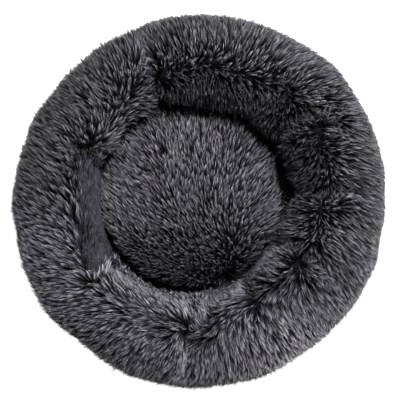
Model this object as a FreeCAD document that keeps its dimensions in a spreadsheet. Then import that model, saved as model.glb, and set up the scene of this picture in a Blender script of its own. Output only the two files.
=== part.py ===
import FreeCAD, Part
import Sketcher
import math
import os
from FreeCAD import Vector

os.makedirs("parts", exist_ok=True)

# Round pet bed: a stuffed ring (bolster) with a loose cushion in its well.
# Millimetres. +Z is up, the origin is at the middle of the underside.
# Soft pieces are simple solids at the middle of their pile.

DIMS = {
    # ring, outside
    "ring_radius": 291.0,        # outside of the pile at the widest place
    "ring_height": 172.0,        # top of the pile on the crest
    "top_round": 80.0,           # rounding of the ring's outer shoulder
    "bottom_round": 60.0,        # rounding below the widest place
    "pile_depth": 10.0,          # backing and pile, as one thickness
    # well, off centre as the ring is fuller on one side
    "well_left": 14.0,           # the well's axis lies this far towards -X
    "well_front": 4.0,           # and this far towards -Y
    "well_radius": 152.0,
    "well_round": 50.0,          # rounding of the inner shoulder
    "well_lip": 2.0,             # the rounding would end this far above the crest
    # crest seam between the outer and inner cover panels
    "crest_left": 10.0,
    "crest_front": 8.0,
    "crest_radius": 206.0,
    # join panel in the inner wall
    "join_start": 160.0,         # degrees round the well's axis
    "join_sweep": 58.0,
    # lining bag
    "liner_depth": 1.5,
    # base
    "base_radius": 235.0,
    "base_depth": 4.0,
    "binding_width": 3.0,
    "binding_height": 4.0,
    "wadding_depth": 18.0,
    "floor_depth": 2.0,
    "wadding_gap": 0.5,
    # cushion
    "cushion_gap": 0.3,          # above the well's floor
    "cushion_radius": 146.0,
    "cushion_flat": 118.0,       # radius of its flat underside
    "cushion_belly": 52.0,       # height of its side seam
    "cushion_shoulder": 128.0,
    "cushion_shoulder_up": 82.0,
    "cushion_top": 100.0,
    "dome_curve": 464.2,         # radius of the dome over the shoulder
    "cushion_under_depth": 2.0,
    # zip across the underside
    "slot_low": 150.0,           # -X end of the slot, with room for the tab
    "slot_high": 137.0,          # +X end of the slot
    "slot_width": 18.0,
    "tape_past": 3.0,            # tape under the panels at each end
    "tape_gap": 2.4,
    "tape_width": 13.8,
    "tape_depth": 0.8,
    "coil_start": 128.0,         # -X end of the coil rows
    "coil_end": 120.5,           # +X end of the coil rows
    "coil_gap": 0.3,
    "coil_width": 2.8,
    "coil_depth": 2.2,
    "stop_length": 3.0,
    "stop_gap": 0.3,
    "top_stop_at": 125.4,
    "top_stop_length": 2.2,
    "top_stop_width": 1.8,
    "channel_past": 3.0,         # wadding cleared beyond the tape
    "channel_width": 36.0,
    "channel_height": 5.5,
    # slider
    "slider_at": 119.0,          # middle of the slider, and the tab's pin
    "slider_length": 12.0,
    "slider_width": 9.2,
    "slider_below": 2.7,         # underside of the lower plate
    "slider_plate": 1.1,
    "slider_top_from": 7.2,      # underside of the upper plate
    "slider_top_plate": 1.2,
    "flange_width": 1.2,
    "flange_from": 5.0,
    "post_at": 2.0,              # post starts this far past the middle
    "post_length": 3.5,
    "post_width": 2.0,
    "ear_length": 2.8,
    "ear_width": 1.0,
    "ear_gap": 3.8,
    "ear_from": 0.6,
    "pin_radius": 0.45,
    "pin_height": 1.5,
    # pull tab
    "tab_length": 24.0,
    "tab_width": 3.4,
    "tab_end_width": 6.6,
    "tab_end_length": 15.0,
    "tab_depth": 1.2,
    "eye_radius": 1.1,
    "eye_bore": 0.5,
    "tab_hole": 1.5,
}

doc = FreeCAD.newDocument("pet_bed")
sheet = doc.addObject("Spreadsheet::Sheet", "Dims")
for row, (alias, value) in enumerate(DIMS.items(), start=1):
    sheet.set("A%d" % row, alias)
    sheet.set("B%d" % row, str(value))
    sheet.setAlias("B%d" % row, alias)
doc.recompute()

NODES = []


def value(text):
    """Number that a rule over the driving dimensions gives now."""
    names = dict(DIMS)
    total = 0.0
    for sign, term in terms(text):
        product = 1.0
        for factor in term.split("*"):
            factor = factor.strip()
            product *= names[factor] if factor in names else float(factor)
        total += sign * product
    return total


def terms(text):
    """Split 'a + b - c' into signed terms."""
    found = []
    sign = 1.0
    for word in text.split():
        if word == "+":
            sign = 1.0
        elif word == "-":
            sign = -1.0
        else:
            found.append((sign, word))
    return found


def rule(text):
    """The same rule as an expression on the spreadsheet."""
    out = []
    for word in text.split():
        if word in "+-":
            out.append(word)
            continue
        factors = []
        for factor in word.split("*"):
            factors.append("Dims." + factor if factor in DIMS else factor)
        out.append("*".join(factors))
    return " ".join(out)


def origin_plane(body, role):
    """One of a body's own origin planes."""
    return [f for f in body.Origin.OriginFeatures if f.Role == role][0]


def shift(thing, x=None, y=None, z=None):
    """Tie an object's position to the sheet."""
    for axis, text in (("x", x), ("y", y), ("z", z)):
        if text is not None:
            thing.setExpression(".Placement.Base." + axis, rule(text))


def turned(name, outline, x=None, y=None):
    """Solid of revolution about a vertical axis.

    outline: corners (r, z) as rules, in order; a corner with a third entry
    is reached by an arc whose centre is that (r, z) pair.
    """
    body = doc.addObject("PartDesign::Body", name)
    sketch = body.newObject("Sketcher::SketchObject", name + "_outline")
    sketch.AttachmentSupport = [(origin_plane(body, "XZ_Plane"), "")]
    sketch.MapMode = "FlatFace"
    count = len(outline)
    spots = [Vector(value(c[0]), value(c[1]), 0) for c in outline]
    for i, corner in enumerate(outline):
        start = spots[i - 1]
        end = spots[i]
        if len(corner) == 2:
            sketch.addGeometry(Part.LineSegment(start, end), False)
            continue
        middle = Vector(value(corner[2][0]), value(corner[2][1]), 0)
        radius = (start - middle).Length
        first = math.atan2(start.y - middle.y, start.x - middle.x)
        last = math.atan2(end.y - middle.y, end.x - middle.x)
        circle = Part.Circle(middle, Vector(0, 0, 1), radius)
        if (last - first) % (2.0 * math.pi) > math.pi:
            first, last = last, first
        sketch.addGeometry(Part.ArcOfCircle(circle, first, last), False)
    ends = []
    for i, corner in enumerate(outline):
        forward = True
        if len(corner) == 3:
            begin = sketch.Geometry[i].StartPoint
            forward = (begin - spots[i - 1]).Length < 1e-6
        ends.append((1, 2) if forward else (2, 1))
    for i in range(count):
        after = (i + 1) % count
        sketch.addConstraint(Sketcher.Constraint(
            "Coincident", i, ends[i][1], after, ends[after][0]))
    for i, corner in enumerate(outline):
        for kind, text in (("DistanceX", corner[0]), ("DistanceY", corner[1])):
            number = sketch.addConstraint(Sketcher.Constraint(
                kind, -1, 1, i, ends[i][1], value(text)))
            sketch.setExpression("Constraints[%d]" % number, rule(text))
        if len(corner) == 3:
            text = corner[2][0]
            number = sketch.addConstraint(Sketcher.Constraint(
                "DistanceX", -1, 1, i, 3, value(text)))
            sketch.setExpression("Constraints[%d]" % number, rule(text))
    turn = body.newObject("PartDesign::Revolution", name + "_turn")
    turn.Profile = sketch
    turn.ReferenceAxis = (sketch, ["V_Axis"])
    turn.Angle = 360.0
    shift(body, x, y)
    return body


def block(name, size, corner):
    """Box from rules for its size and its low corner."""
    box = doc.addObject("Part::Box", name)
    for prop, text in zip(("Length", "Width", "Height"), size):
        box.setExpression(prop, rule(text))
    shift(box, *corner)
    return box


def rod(name, radius, height, spot=(None, None, None)):
    """Upright cylinder from rules."""
    made = doc.addObject("Part::Cylinder", name)
    made.setExpression("Radius", rule(radius))
    made.setExpression("Height", rule(height))
    shift(made, *spot)
    return made


def cross_rod(name, radius, length, x, y, z):
    """Cylinder along +Y from rules."""
    made = doc.addObject("Part::Cylinder", name)
    made.Placement = FreeCAD.Placement(
        Vector(0, 0, 0), FreeCAD.Rotation(Vector(1, 0, 0), -90))
    made.setExpression("Radius", rule(radius))
    made.setExpression("Height", rule(length))
    shift(made, x, y, z)
    return made


def cut(name, base, tool):
    made = doc.addObject("Part::Cut", name)
    made.Base = base
    made.Tool = tool
    return made


def common(name, base, tool):
    made = doc.addObject("Part::Common", name)
    made.Base = base
    made.Tool = tool
    return made


def joined(name, shapes):
    made = doc.addObject("Part::MultiFuse", name)
    made.Shapes = shapes
    return made


def grouped(name, shapes):
    """Several separate solids under one name."""
    made = doc.addObject("Part::Compound", name)
    made.Links = shapes
    return made


def node(thing, label):
    thing.Label = label
    NODES.append(thing)


def ring_form(name, depth, bottom, foot):
    """The ring's full outside, drawn in by depth, over a flat foot."""
    side = "ring_radius" + depth
    low = "bottom_round"
    high = "ring_height - top_round"
    inner_low = ["ring_radius - bottom_round", low]
    inner_high = ["ring_radius - top_round", high]
    return turned(name, [
        ("0", bottom),
        (foot[0], bottom),
        (foot[0], foot[1]),
        (side, low, inner_low),
        (side, high),
        ("ring_radius - top_round", "ring_height" + depth, inner_high),
        ("0", "ring_height" + depth),
    ])


def foot_height(depth, foot):
    """Where the rounding under the ring meets a foot of that radius."""
    radius = DIMS["bottom_round"] - depth
    run = foot - (DIMS["ring_radius"] - DIMS["bottom_round"])
    return DIMS["bottom_round"] - math.sqrt(radius * radius - run * run)


def well_form(name, depth):
    """The room of the well, wider by depth, open at the top and right through."""
    wall = "well_radius" + depth
    high = "ring_height + well_lip - well_round"
    rim = "well_radius + well_round"
    above = "ring_height + well_round"
    return turned(name, [
        ("0", "0"),
        (wall, "0"),
        (wall, high),
        (rim, "ring_height + well_lip" + depth.replace("+", "-"), (rim, high)),
        (rim, above),
        ("0", above),
    ], "0 - well_left", "0 - well_front")


def make_ring():
    """Cover panels, lining bag and filling of the ring."""
    skin_foot = DIMS["base_radius"] + DIMS["binding_width"]
    rows = (
        ("foot_outer", foot_height(0.0, skin_foot)),
        ("foot_core", foot_height(DIMS["pile_depth"], skin_foot)),
        ("foot_fill", foot_height(DIMS["pile_depth"] + DIMS["liner_depth"],
                                  skin_foot - DIMS["liner_depth"])),
    )
    for alias, number in rows:
        row = len(DIMS) + 1
        DIMS[alias] = round(number, 4)
        sheet.set("A%d" % row, alias)
        sheet.set("B%d" % row, str(DIMS[alias]))
        sheet.setAlias("B%d" % row, alias)
    doc.recompute()
    foot = "base_radius + binding_width"
    pile = " - pile_depth"
    bag = " - pile_depth - liner_depth"
    outside = ring_form("ring_outside", "", "0", (foot, "foot_outer"))
    core = ring_form("ring_core", pile, "base_depth", (foot, "foot_core"))
    inside = ring_form("ring_inside", bag, "base_depth + liner_depth",
                       (foot + " - liner_depth", "foot_fill"))
    room = well_form("well_room", "")
    room_pile = well_form("well_room_pile", " + pile_depth")
    room_bag = well_form("well_room_bag", " + pile_depth + liner_depth")

    ring_body = cut("ring_body", outside, room)
    core_body = cut("core_body", core, room_pile)
    fill_body = cut("bolster_fill", inside, room_bag)
    liner = cut("bolster_liner", core_body, fill_body)
    skin_whole = cut("skin_whole", ring_body, core_body)
    # the skin ends at the base seam outside and at the well floor inside
    low_disc = rod("low_disc", "well_radius + 2*pile_depth", "base_depth + wadding_depth",
                   ("0 - well_left", "0 - well_front", None))
    foot_disc = rod("foot_disc", foot, "foot_core")
    skin_low = cut("skin_low", skin_whole, low_disc)
    skin = cut("skin", skin_low, foot_disc)

    crest = rod("crest_line", "crest_radius", "2*ring_height",
                ("0 - crest_left", "0 - crest_front", None))
    outer = cut("bolster_outer_cover", skin, crest)
    within = common("within_crest", skin, crest)
    slice_ = rod("join_slice", "ring_radius", "2*ring_height",
                 ("0 - well_left", "0 - well_front", None))
    slice_.Placement = FreeCAD.Placement(
        Vector(0, 0, 0), FreeCAD.Rotation(Vector(0, 0, 1), DIMS["join_start"]))
    slice_.setExpression("Angle", rule("join_sweep"))
    slice_.setExpression(".Placement.Rotation.Angle", rule("join_start") + " * 1deg")
    shift(slice_, "0 - well_left", "0 - well_front")
    inner = cut("bolster_inner_cover", within, slice_)
    join = common("inner_wall_join_panel", within, slice_)
    node(outer, "bolster_outer_cover")
    node(inner, "bolster_inner_cover")
    node(join, "inner_wall_join_panel")
    node(liner, "bolster_liner")
    node(fill_body, "bolster_fill")


def make_base():
    """Well floor, wadding, the two base panels and their binding."""
    centre = ("0 - well_left", "0 - well_front")
    floor = rod("well_floor_panel", "well_radius", "floor_depth",
                centre + ("base_depth + wadding_depth",))
    node(floor, "well_floor_panel")
    pad = rod("pad_disc", "well_radius + pile_depth - wadding_gap", "wadding_depth",
              centre + ("base_depth",))
    channel = block("zip_channel",
                    ("slot_low + slot_high + 2*tape_past + 2*channel_past",
                     "channel_width", "channel_height"),
                    ("0 - slot_low - tape_past - channel_past",
                     "-0.5*channel_width", "base_depth"))
    node(cut("base_wadding", pad, channel), "base_wadding")

    disc = rod("base_disc", "base_radius", "base_depth")
    slot = block("zip_slot", ("slot_low + slot_high", "slot_width", "2*base_depth"),
                 ("0 - slot_low", "-0.5*slot_width", "-0.5*base_depth"))
    slotted = cut("base_slotted", disc, slot)
    half = ("2*ring_radius", "ring_radius", "2*base_depth")
    front_half = block("front_half", half, ("-1*ring_radius", "-1*ring_radius", "-0.5*base_depth"))
    node(common("base_panel_front", slotted, front_half), "base_panel_front")
    node(cut("base_panel_rear", slotted, front_half), "base_panel_rear")

    band = rod("binding_out", "base_radius + binding_width", "binding_height")
    hole = rod("binding_in", "base_radius", "2*binding_height")
    band_ring = cut("binding_ring", band, hole)
    node(band_ring, "base_edge_binding")


def make_cushion():
    """Loose cushion: furry top, plain underside, filling."""
    centre = ("0 - well_left", "0 - well_front")
    low = "base_depth + wadding_depth + floor_depth + cushion_gap"
    pile = " - pile_depth"
    thin = " - cushion_under_depth"
    dome = ("0", "cushion_top - dome_curve")
    outside = turned("cushion_outside", [
        ("0", low),
        ("cushion_flat", low),
        ("cushion_radius", "cushion_belly", edge_arc(low, 0.0)),
        ("cushion_shoulder", "cushion_shoulder_up"),
        ("0", "cushion_top", dome),
    ], *centre)
    inside = turned("cushion_fill", [
        ("0", low + " + cushion_under_depth"),
        ("cushion_flat", low + " + cushion_under_depth"),
        ("cushion_radius" + thin, "cushion_belly"),
        ("cushion_radius" + pile, "cushion_belly"),
        ("cushion_shoulder - 0.8*pile_depth", "cushion_shoulder_up - 0.8*pile_depth"),
        ("0", "cushion_top" + pile, dome_inside()),
    ], *centre)
    shell = cut("cushion_shell", outside, inside)
    below = rod("below_seam", "2*cushion_radius", "cushion_belly",
                centre + (None,))
    node(cut("cushion_top_cover", shell, below), "cushion_top_cover")
    node(common("cushion_bottom_cover", shell, below), "cushion_bottom_cover")
    node(inside, "cushion_fill")


def edge_arc(low, inset):
    """Centre of an arc through the flat's edge and the side seam."""
    r0 = DIMS["cushion_flat"]
    z0 = value(low)
    r1 = DIMS["cushion_radius"] - inset
    z1 = DIMS["cushion_belly"]
    # the arc stands upright at the side seam, so its centre is at that height
    span = ((r1 - r0) ** 2 + (z1 - z0) ** 2) / (2.0 * (r1 - r0))
    return ("%.6f" % (r1 - span), "cushion_belly")


def dome_inside():
    """Centre height of the filling's dome, from its two ends."""
    r0 = DIMS["cushion_shoulder"] - 0.8 * DIMS["pile_depth"]
    z0 = DIMS["cushion_shoulder_up"] - 0.8 * DIMS["pile_depth"]
    z1 = DIMS["cushion_top"] - DIMS["pile_depth"]
    radius = (r0 * r0 + (z1 - z0) ** 2) / (2.0 * (z1 - z0))
    return ("0", "0 - %.6f" % (radius - z1))


def make_zip():
    """Tapes, coil rows and stops, on the panels' hems."""
    top = "base_depth + tape_depth"
    for side, label in ((1, "rear"), (-1, "front")):
        near = "0.5*tape_gap" if side > 0 else "-0.5*tape_gap - tape_width"
        tape = block("zip_tape_" + label,
                     ("slot_low + slot_high + 2*tape_past", "tape_width", "tape_depth"),
                     ("0 - slot_low - tape_past", near, "base_depth"))
        node(tape, "zip_tape_" + label)
        near = "0.5*coil_gap" if side > 0 else "-0.5*coil_gap - coil_width"
        coil = block("zip_coil_" + label, ("coil_start + coil_end", "coil_width", "coil_depth"),
                     ("0 - coil_start", near, top))
        node(coil, "zip_coil_" + label)
    stop = block("zip_bottom_stop",
                 ("stop_length", "coil_gap + 2*coil_width", "coil_depth"),
                 ("0 - coil_start - stop_gap - stop_length",
                  "-0.5*coil_gap - coil_width", top))
    node(stop, "zip_bottom_stop")
    ends = []
    for side in (1, -1):
        near = "0.5*tape_gap" if side > 0 else "-0.5*tape_gap - top_stop_width"
        ends.append(block("top_stop_%d" % (side + 1),
                          ("top_stop_length", "top_stop_width", "coil_depth"),
                          ("top_stop_at", near, top)))
    node(grouped("zip_top_stops", ends), "zip_top_stops")


def make_slider():
    """Slider: two plates, flanges, the post between them and the tab's ears."""
    start = "slider_at - 0.5*slider_length"
    side = "-0.5*slider_width"
    pieces = [
        block("slider_lower", ("slider_length", "slider_width", "slider_plate"),
              (start, side, "slider_below")),
        block("slider_upper", ("slider_length", "slider_width", "slider_top_plate"),
              (start, side, "slider_top_from")),
        block("slider_flange_front",
              ("slider_length", "flange_width", "slider_top_from - flange_from"),
              (start, side, "flange_from")),
        block("slider_flange_rear",
              ("slider_length", "flange_width", "slider_top_from - flange_from"),
              (start, "0.5*slider_width - flange_width", "flange_from")),
        block("slider_post",
              ("post_length", "post_width",
               "slider_top_from - slider_below - slider_plate"),
              ("slider_at + post_at", "-0.5*post_width",
               "slider_below + slider_plate")),
    ]
    for name, near in (("slider_ear_rear", "0.5*ear_gap"),
                       ("slider_ear_front", "-0.5*ear_gap - ear_width")):
        pieces.append(block(name, ("ear_length", "ear_width", "slider_below - ear_from"),
                            ("slider_at - 0.5*ear_length", near, "ear_from")))
    pieces.append(cross_rod("slider_pin", "pin_radius", "ear_gap + ear_width",
                            "slider_at", "-0.5*ear_gap - 0.5*ear_width", "pin_height"))
    node(joined("zip_slider", pieces), "zip_slider")


def make_tab():
    """Pull tab: an eye round the pin, a neck and a wider end with a hole."""
    eye = cross_rod("tab_eye", "eye_radius", "tab_width",
                    "slider_at", "-0.5*tab_width", "pin_height")
    low = "pin_height - 0.5*tab_depth"
    neck = block("tab_neck", ("tab_length", "tab_width", "tab_depth"),
                 ("slider_at - tab_length", "-0.5*tab_width", low))
    end = block("tab_end", ("tab_end_length", "tab_end_width", "tab_depth"),
                ("slider_at - tab_length", "-0.5*tab_end_width", low))
    plate = joined("tab_plate", [eye, neck, end])
    bore = cross_rod("tab_bore", "eye_bore", "2*tab_width",
                     "slider_at", "-1*tab_width", "pin_height")
    bored = cut("tab_bored", plate, bore)
    hole = rod("tab_grip_hole", "tab_hole", "2*tab_depth + pin_height",
               ("slider_at - tab_length + 3*tab_hole", "0", "0"))
    node(cut("zip_pull_tab", bored, hole), "zip_pull_tab")


make_ring()
make_base()
make_cushion()
make_zip()
make_slider()
make_tab()
doc.recompute()

for thing in doc.Objects:
    state = thing.State
    if "Invalid" in state or "Error" in state:
        raise RuntimeError("%s did not compute: %s" % (thing.Name, state))
for thing in NODES:
    shape = thing.Shape
    if shape.isNull() or not shape.isValid():
        raise RuntimeError("%s has no valid shape" % thing.Label)
    if not shape.Solids:
        raise RuntimeError("%s is not a solid" % thing.Label)
    box = shape.optimalBoundingBox()
    print("%-24s solids %d  faces %3d  vol %9.1f cm3  x %7.1f %7.1f  y %7.1f %7.1f  z %6.1f %6.1f" % (
        thing.Label, len(shape.Solids), len(shape.Faces), shape.Volume / 1000.0,
        box.XMin, box.XMax, box.YMin, box.YMax, box.ZMin, box.ZMax))
    shape.exportStep("parts/%s.step" % thing.Label)
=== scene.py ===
import math
import bmesh
import bpy
import numpy as np
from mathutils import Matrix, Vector
from mathutils.kdtree import KDTree


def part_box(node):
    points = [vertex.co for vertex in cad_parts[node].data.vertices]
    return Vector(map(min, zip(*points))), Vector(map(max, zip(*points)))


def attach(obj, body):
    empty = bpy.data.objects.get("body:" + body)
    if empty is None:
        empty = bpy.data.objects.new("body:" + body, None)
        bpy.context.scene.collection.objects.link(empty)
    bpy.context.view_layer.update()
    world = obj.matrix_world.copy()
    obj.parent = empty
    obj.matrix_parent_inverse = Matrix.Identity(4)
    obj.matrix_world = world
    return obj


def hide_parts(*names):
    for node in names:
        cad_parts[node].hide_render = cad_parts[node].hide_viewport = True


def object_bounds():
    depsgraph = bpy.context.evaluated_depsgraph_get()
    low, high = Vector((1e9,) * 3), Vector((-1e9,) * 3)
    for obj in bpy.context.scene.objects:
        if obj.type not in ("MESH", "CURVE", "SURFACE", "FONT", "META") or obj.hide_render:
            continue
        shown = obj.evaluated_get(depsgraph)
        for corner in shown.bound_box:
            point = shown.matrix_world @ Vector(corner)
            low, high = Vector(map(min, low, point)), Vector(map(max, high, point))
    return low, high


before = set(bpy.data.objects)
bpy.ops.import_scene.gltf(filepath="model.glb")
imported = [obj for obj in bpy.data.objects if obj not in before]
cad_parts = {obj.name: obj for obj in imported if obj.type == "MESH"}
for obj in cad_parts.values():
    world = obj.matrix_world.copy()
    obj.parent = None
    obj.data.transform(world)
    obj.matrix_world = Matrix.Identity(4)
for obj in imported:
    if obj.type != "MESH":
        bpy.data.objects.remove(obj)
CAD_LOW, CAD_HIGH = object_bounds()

# Looks of the round pet bed, in metres: stuffed forms by cloth simulation,
# then long pile grown on them strand by strand, and the cloth and zip below.


def corners(node):
    low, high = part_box(node)
    return np.array(low), np.array(high)


PILE = 0.009  # backing lies this far inside the CAD skin
PILE_PER_M2 = 215000.0  # strands of long pile
CUSHION_DENSER = 1.25
JOIN_PILE_PER_M2 = 240000.0
BACKING_THICK = 0.0012
RING_HIGH = corners("bolster_outer_cover")[1]
FLOOR_LOW, FLOOR_HIGH = corners("well_floor_panel")
WELL_AXIS = (FLOOR_LOW + FLOOR_HIGH)[:2] / 2.0
RIM = RING_HIGH[0] - 0.5 * PILE  # outside of the ring's backing, where the pile lies flat
CREST_Z = RING_HIGH[2] - PILE
CREST_DROP = 0.007  # room under CREST_Z for the pile that stands up
LOOSE_DROP = 0.007  # and more of it where the tufts are upright
FOOT_Z = 0.006
SECTION_STEPS = 72
ROUND_STEPS = 264
# section angles of the ring in degrees: 0 outermost, 90 crest, 180 at the well
BASE_SEAM = -78.0
PILE_FOOT = -76.0
CREST = 90.0
JOIN_TOP = 108.0  # brushed pile of the join panel starts here
CREST_FRINGE = 112.0  # and the long pile above it ends here
HELD_FROM = 183.0  # held in the simulation, as are folds deeper than FOLDED
FOLDED = 0.008
PILE_END = 205.0
WELL_SEAM = 232.0
JOIN_AT = 189.0  # azimuth of the join panel's middle from the well's axis
JOIN_HALF = 29.0
JOIN_WAY = (0.0, 1.0, -0.25)  # its pile is brushed this way
# sides of the ring that differ, by azimuth in degrees: middle, full up to, gone from
UPRIGHT_SIDE = (60.0, 70.0, 110.0)
LOOSE_SIDE = (44.0, 62.0, 92.0)
# the sleek side's pile is also painted lighter, as painted light
SLEEK_LIT_SIDE = (252.0, 45.0, 80.0)
# the next three sides' pile is painted darker, as painted shade
PAINTED_SHADE_SIDE = (70.0, 50.0, 90.0)
LOW_SHADE_SIDE = (245.0, 30.0, 60.0)
HOLLOW_SHADE_SIDE = (55.0, 50.0, 75.0)
SOFT_WALL = (180.0, 62.0, 95.0)
DIM_AT = 168.0
DIM_WIDTH = 26.0
PARTING_SCALE = 0.014  # metres in one step of the distance from the parting

# reach of the well's wall from its axis, by azimuth in degrees: lobes that bulge in
# between pinched corners
WELL_SHAPE = (
    (0, 0.166), (25, 0.172), (54, 0.171), (75, 0.163), (96, 0.169), (128, 0.169),
    (155, 0.159), (189, 0.147), (220, 0.168), (246, 0.162), (269, 0.171), (286, 0.160),
    (303, 0.164), (320, 0.157), (340, 0.161),
)
# slow swelling of the rim: azimuth, half width in degrees, metres
RIM_SWELLS = ((37, 25, 0.006), (85, 18, 0.003), (128, 22, -0.003), (205, 20, 0.007),
              (262, 26, 0.006), (330, 20, 0.004), (314, 12, -0.006))
# pinched folds across the ring: azimuth, half width m, depth m, from, to (section degrees)
FOLDS = (
    (112.0, 0.013, 0.034, 45, 178), (36.5, 0.012, 0.036, 60, 178),
    (2.8, 0.012, 0.036, 70, 178), (331.5, 0.012, 0.028, 80, 180),
    (301.0, 0.010, 0.016, 88, 180), (267.0, 0.012, 0.024, 70, 178),
    (157.0, 0.009, 0.017, 95, 180), (219.0, 0.008, 0.012, 95, 180),
)
# a fold along the ring: azimuth from/to, radius, half width, depth
POCKET = (22, 45, 0.231, 0.011, 0.020)
# lie of the pile: azimuth, heading over the rim and down the well in degrees off the
# outward way, radius of the parting between them and half its width
LIE = (
    (0, -38, -136, 0.189, 0.012), (20, -42, -140, 0.203, 0.010), (42, -38, -130, 0.219, 0.014),
    (58, -30, -124, 0.208, 0.016), (70, -16, -120, 0.197, 0.014), (84, 5, -150, 0.206, 0.012),
    (97, 18, -150, 0.200, 0.014), (112, 2, -80, 0.198, 0.026), (122, 0, -76, 0.200, 0.026),
    (134, 0, -66, 0.181, 0.020), (147, -8, -76, 0.184, 0.024), (165, -14, -84, 0.186, 0.022),
    (180, -40, -84, 0.180, 0.020), (196, -50, -82, 0.190, 0.022), (214, -36, -86, 0.205, 0.022),
    (232, -28, -92, 0.200, 0.022), (248, -27, -100, 0.197, 0.018), (262, -26, -124, 0.196, 0.016),
    (272, -15, -150, 0.205, 0.014), (285, -2, -142, 0.174, 0.014), (302, 9, -132, 0.168, 0.014),
    (318, -20, -132, 0.186, 0.016), (332, -32, -138, 0.174, 0.012), (344, -27, -136, 0.184, 0.012),
)
PUCKER_DEPTH = 0.0055  # for each unit of strength over PUCKER_FLAT
PUCKER_FLAT = 0.6
# puckers that the pile bursts away from: x, y, reach, strength
PUCKERS = (
    (0.182, 0.077, 0.024, 1.6), (0.183, 0.000, 0.020, 1.4), (0.149, -0.098, 0.020, 0.9),
    (0.118, -0.128, 0.018, 0.8), (0.089, -0.157, 0.018, 0.7), (-0.012, -0.206, 0.024, 0.6),
    (0.132, 0.160, 0.026, 1.3), (0.030, 0.190, 0.024, 0.9), (-0.163, 0.145, 0.018, 0.5),
)


def unit(v):
    return v / np.maximum(np.linalg.norm(v, axis=-1, keepdims=True), 1e-12)


def azimuth(x, y):
    return np.degrees(np.arctan2(y, x))


def turn_gap(a, b):
    """Signed difference of two azimuths in degrees."""
    return (a - b + 180.0) % 360.0 - 180.0


def heading(radians, z=0.0):
    return np.stack([np.cos(radians), np.sin(radians), np.zeros_like(radians) + z], 1)


def smooth(x, low, high):
    t = np.clip((x - low) / (high - low), 0.0, 1.0)
    return t * t * (3.0 - 2.0 * t)


def facing(phi, at, full, gone):
    """1 near the azimuth at, 0 further from it than gone."""
    return 1.0 - smooth(np.abs(turn_gap(phi, at)), full, gone)


def by_azimuth(rows, theta, column=1):
    """Smooth value of one column of rows that go round by azimuth in degrees."""
    total = np.zeros_like(theta)
    for i, row in enumerate(rows):
        after = rows[(i + 1) % len(rows)]
        u = ((theta - row[0]) % 360.0) / ((after[0] - row[0]) % 360.0)
        part = row[column] + (after[column] - row[column]) * smooth(u, 0.0, 1.0)
        total = np.where(u < 1.0, part, total)
    return total


def inner_radius(phi):
    """Well wall seen from the ring's middle, azimuths in degrees."""
    a = np.radians(phi)
    r = np.full_like(phi, WELL_SHAPE[0][1])
    for _ in range(12):
        x = r * np.cos(a) - WELL_AXIS[0]
        y = r * np.sin(a) - WELL_AXIS[1]
        r = r + by_azimuth(WELL_SHAPE, azimuth(x, y)) - np.hypot(x, y)
    return r


def outer_radius(phi):
    r = np.full_like(phi, RIM)
    for at, width, swell in RIM_SWELLS:
        r = r + swell * np.exp(-(turn_gap(phi, at) / width) ** 2)
    return r


def section(phi, psi):
    """Radius and height of the ring's section at azimuth phi and section angle psi."""
    inner = inner_radius(phi)
    outer = outer_radius(phi)
    crest_share = 0.33 + 0.08 * np.exp(-(turn_gap(phi, 184.0) / 80.0) ** 2)
    crest = inner + crest_share * (outer - inner)
    c = np.cos(np.radians(psi))
    s = np.sin(np.radians(psi))
    up = s >= 0.0
    out = c >= 0.0
    power_r = np.where(out, np.where(up, 0.95, 0.70), np.where(up, 0.62, 0.25))
    power_z = np.where(out, np.where(up, 0.95, 0.70), 0.80)
    reach = np.where(out, outer - crest, inner - crest)
    top = CREST_Z - CREST_DROP - LOOSE_DROP * facing(phi, *UPRIGHT_SIDE)
    mid = (top + FOOT_Z) / 2.0
    half = (top - FOOT_Z) / 2.0
    r = crest + reach * np.abs(c) ** power_r
    z = mid + half * np.sign(s) * np.abs(s) ** power_z
    return r, z


def lumps(points, amount, scale, seed):
    """Smooth seeded unevenness at points."""
    rng = np.random.default_rng(seed)
    total = np.zeros(len(points))
    for _ in range(7):
        wave = unit(rng.normal(size=3)) * (2.0 * math.pi / (scale * rng.uniform(0.6, 1.6)))
        total = total + np.sin(points @ wave + rng.uniform(0, 2 * math.pi))
    return amount * total / 2.6


def grid_normals(points):
    """Outward normals of a closed grid (round, section, xyz)."""
    along = np.roll(points, -1, 0) - np.roll(points, 1, 0)
    across = np.roll(points, -1, 1) - np.roll(points, 1, 1)
    return unit(np.cross(along, across))


def to_seam(points, psi_full):
    """Bring the foot of the well's wall back to its seam round the floor."""
    seam = (FLOOR_HIGH[0] - FLOOR_LOW[0]) / 2.0 + 0.0015
    away = points[..., :2] - WELL_AXIS
    reach = np.linalg.norm(away, axis=-1)
    low = 1.0 - smooth(points[..., 2], FLOOR_HIGH[2] + 0.004, FLOOR_HIGH[2] + 0.075)
    share = low * (psi_full > 90.0) * (psi_full < 225.0)
    wanted = reach + (seam - reach) * share
    points[..., :2] = WELL_AXIS + away * (wanted / reach)[..., None]


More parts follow.
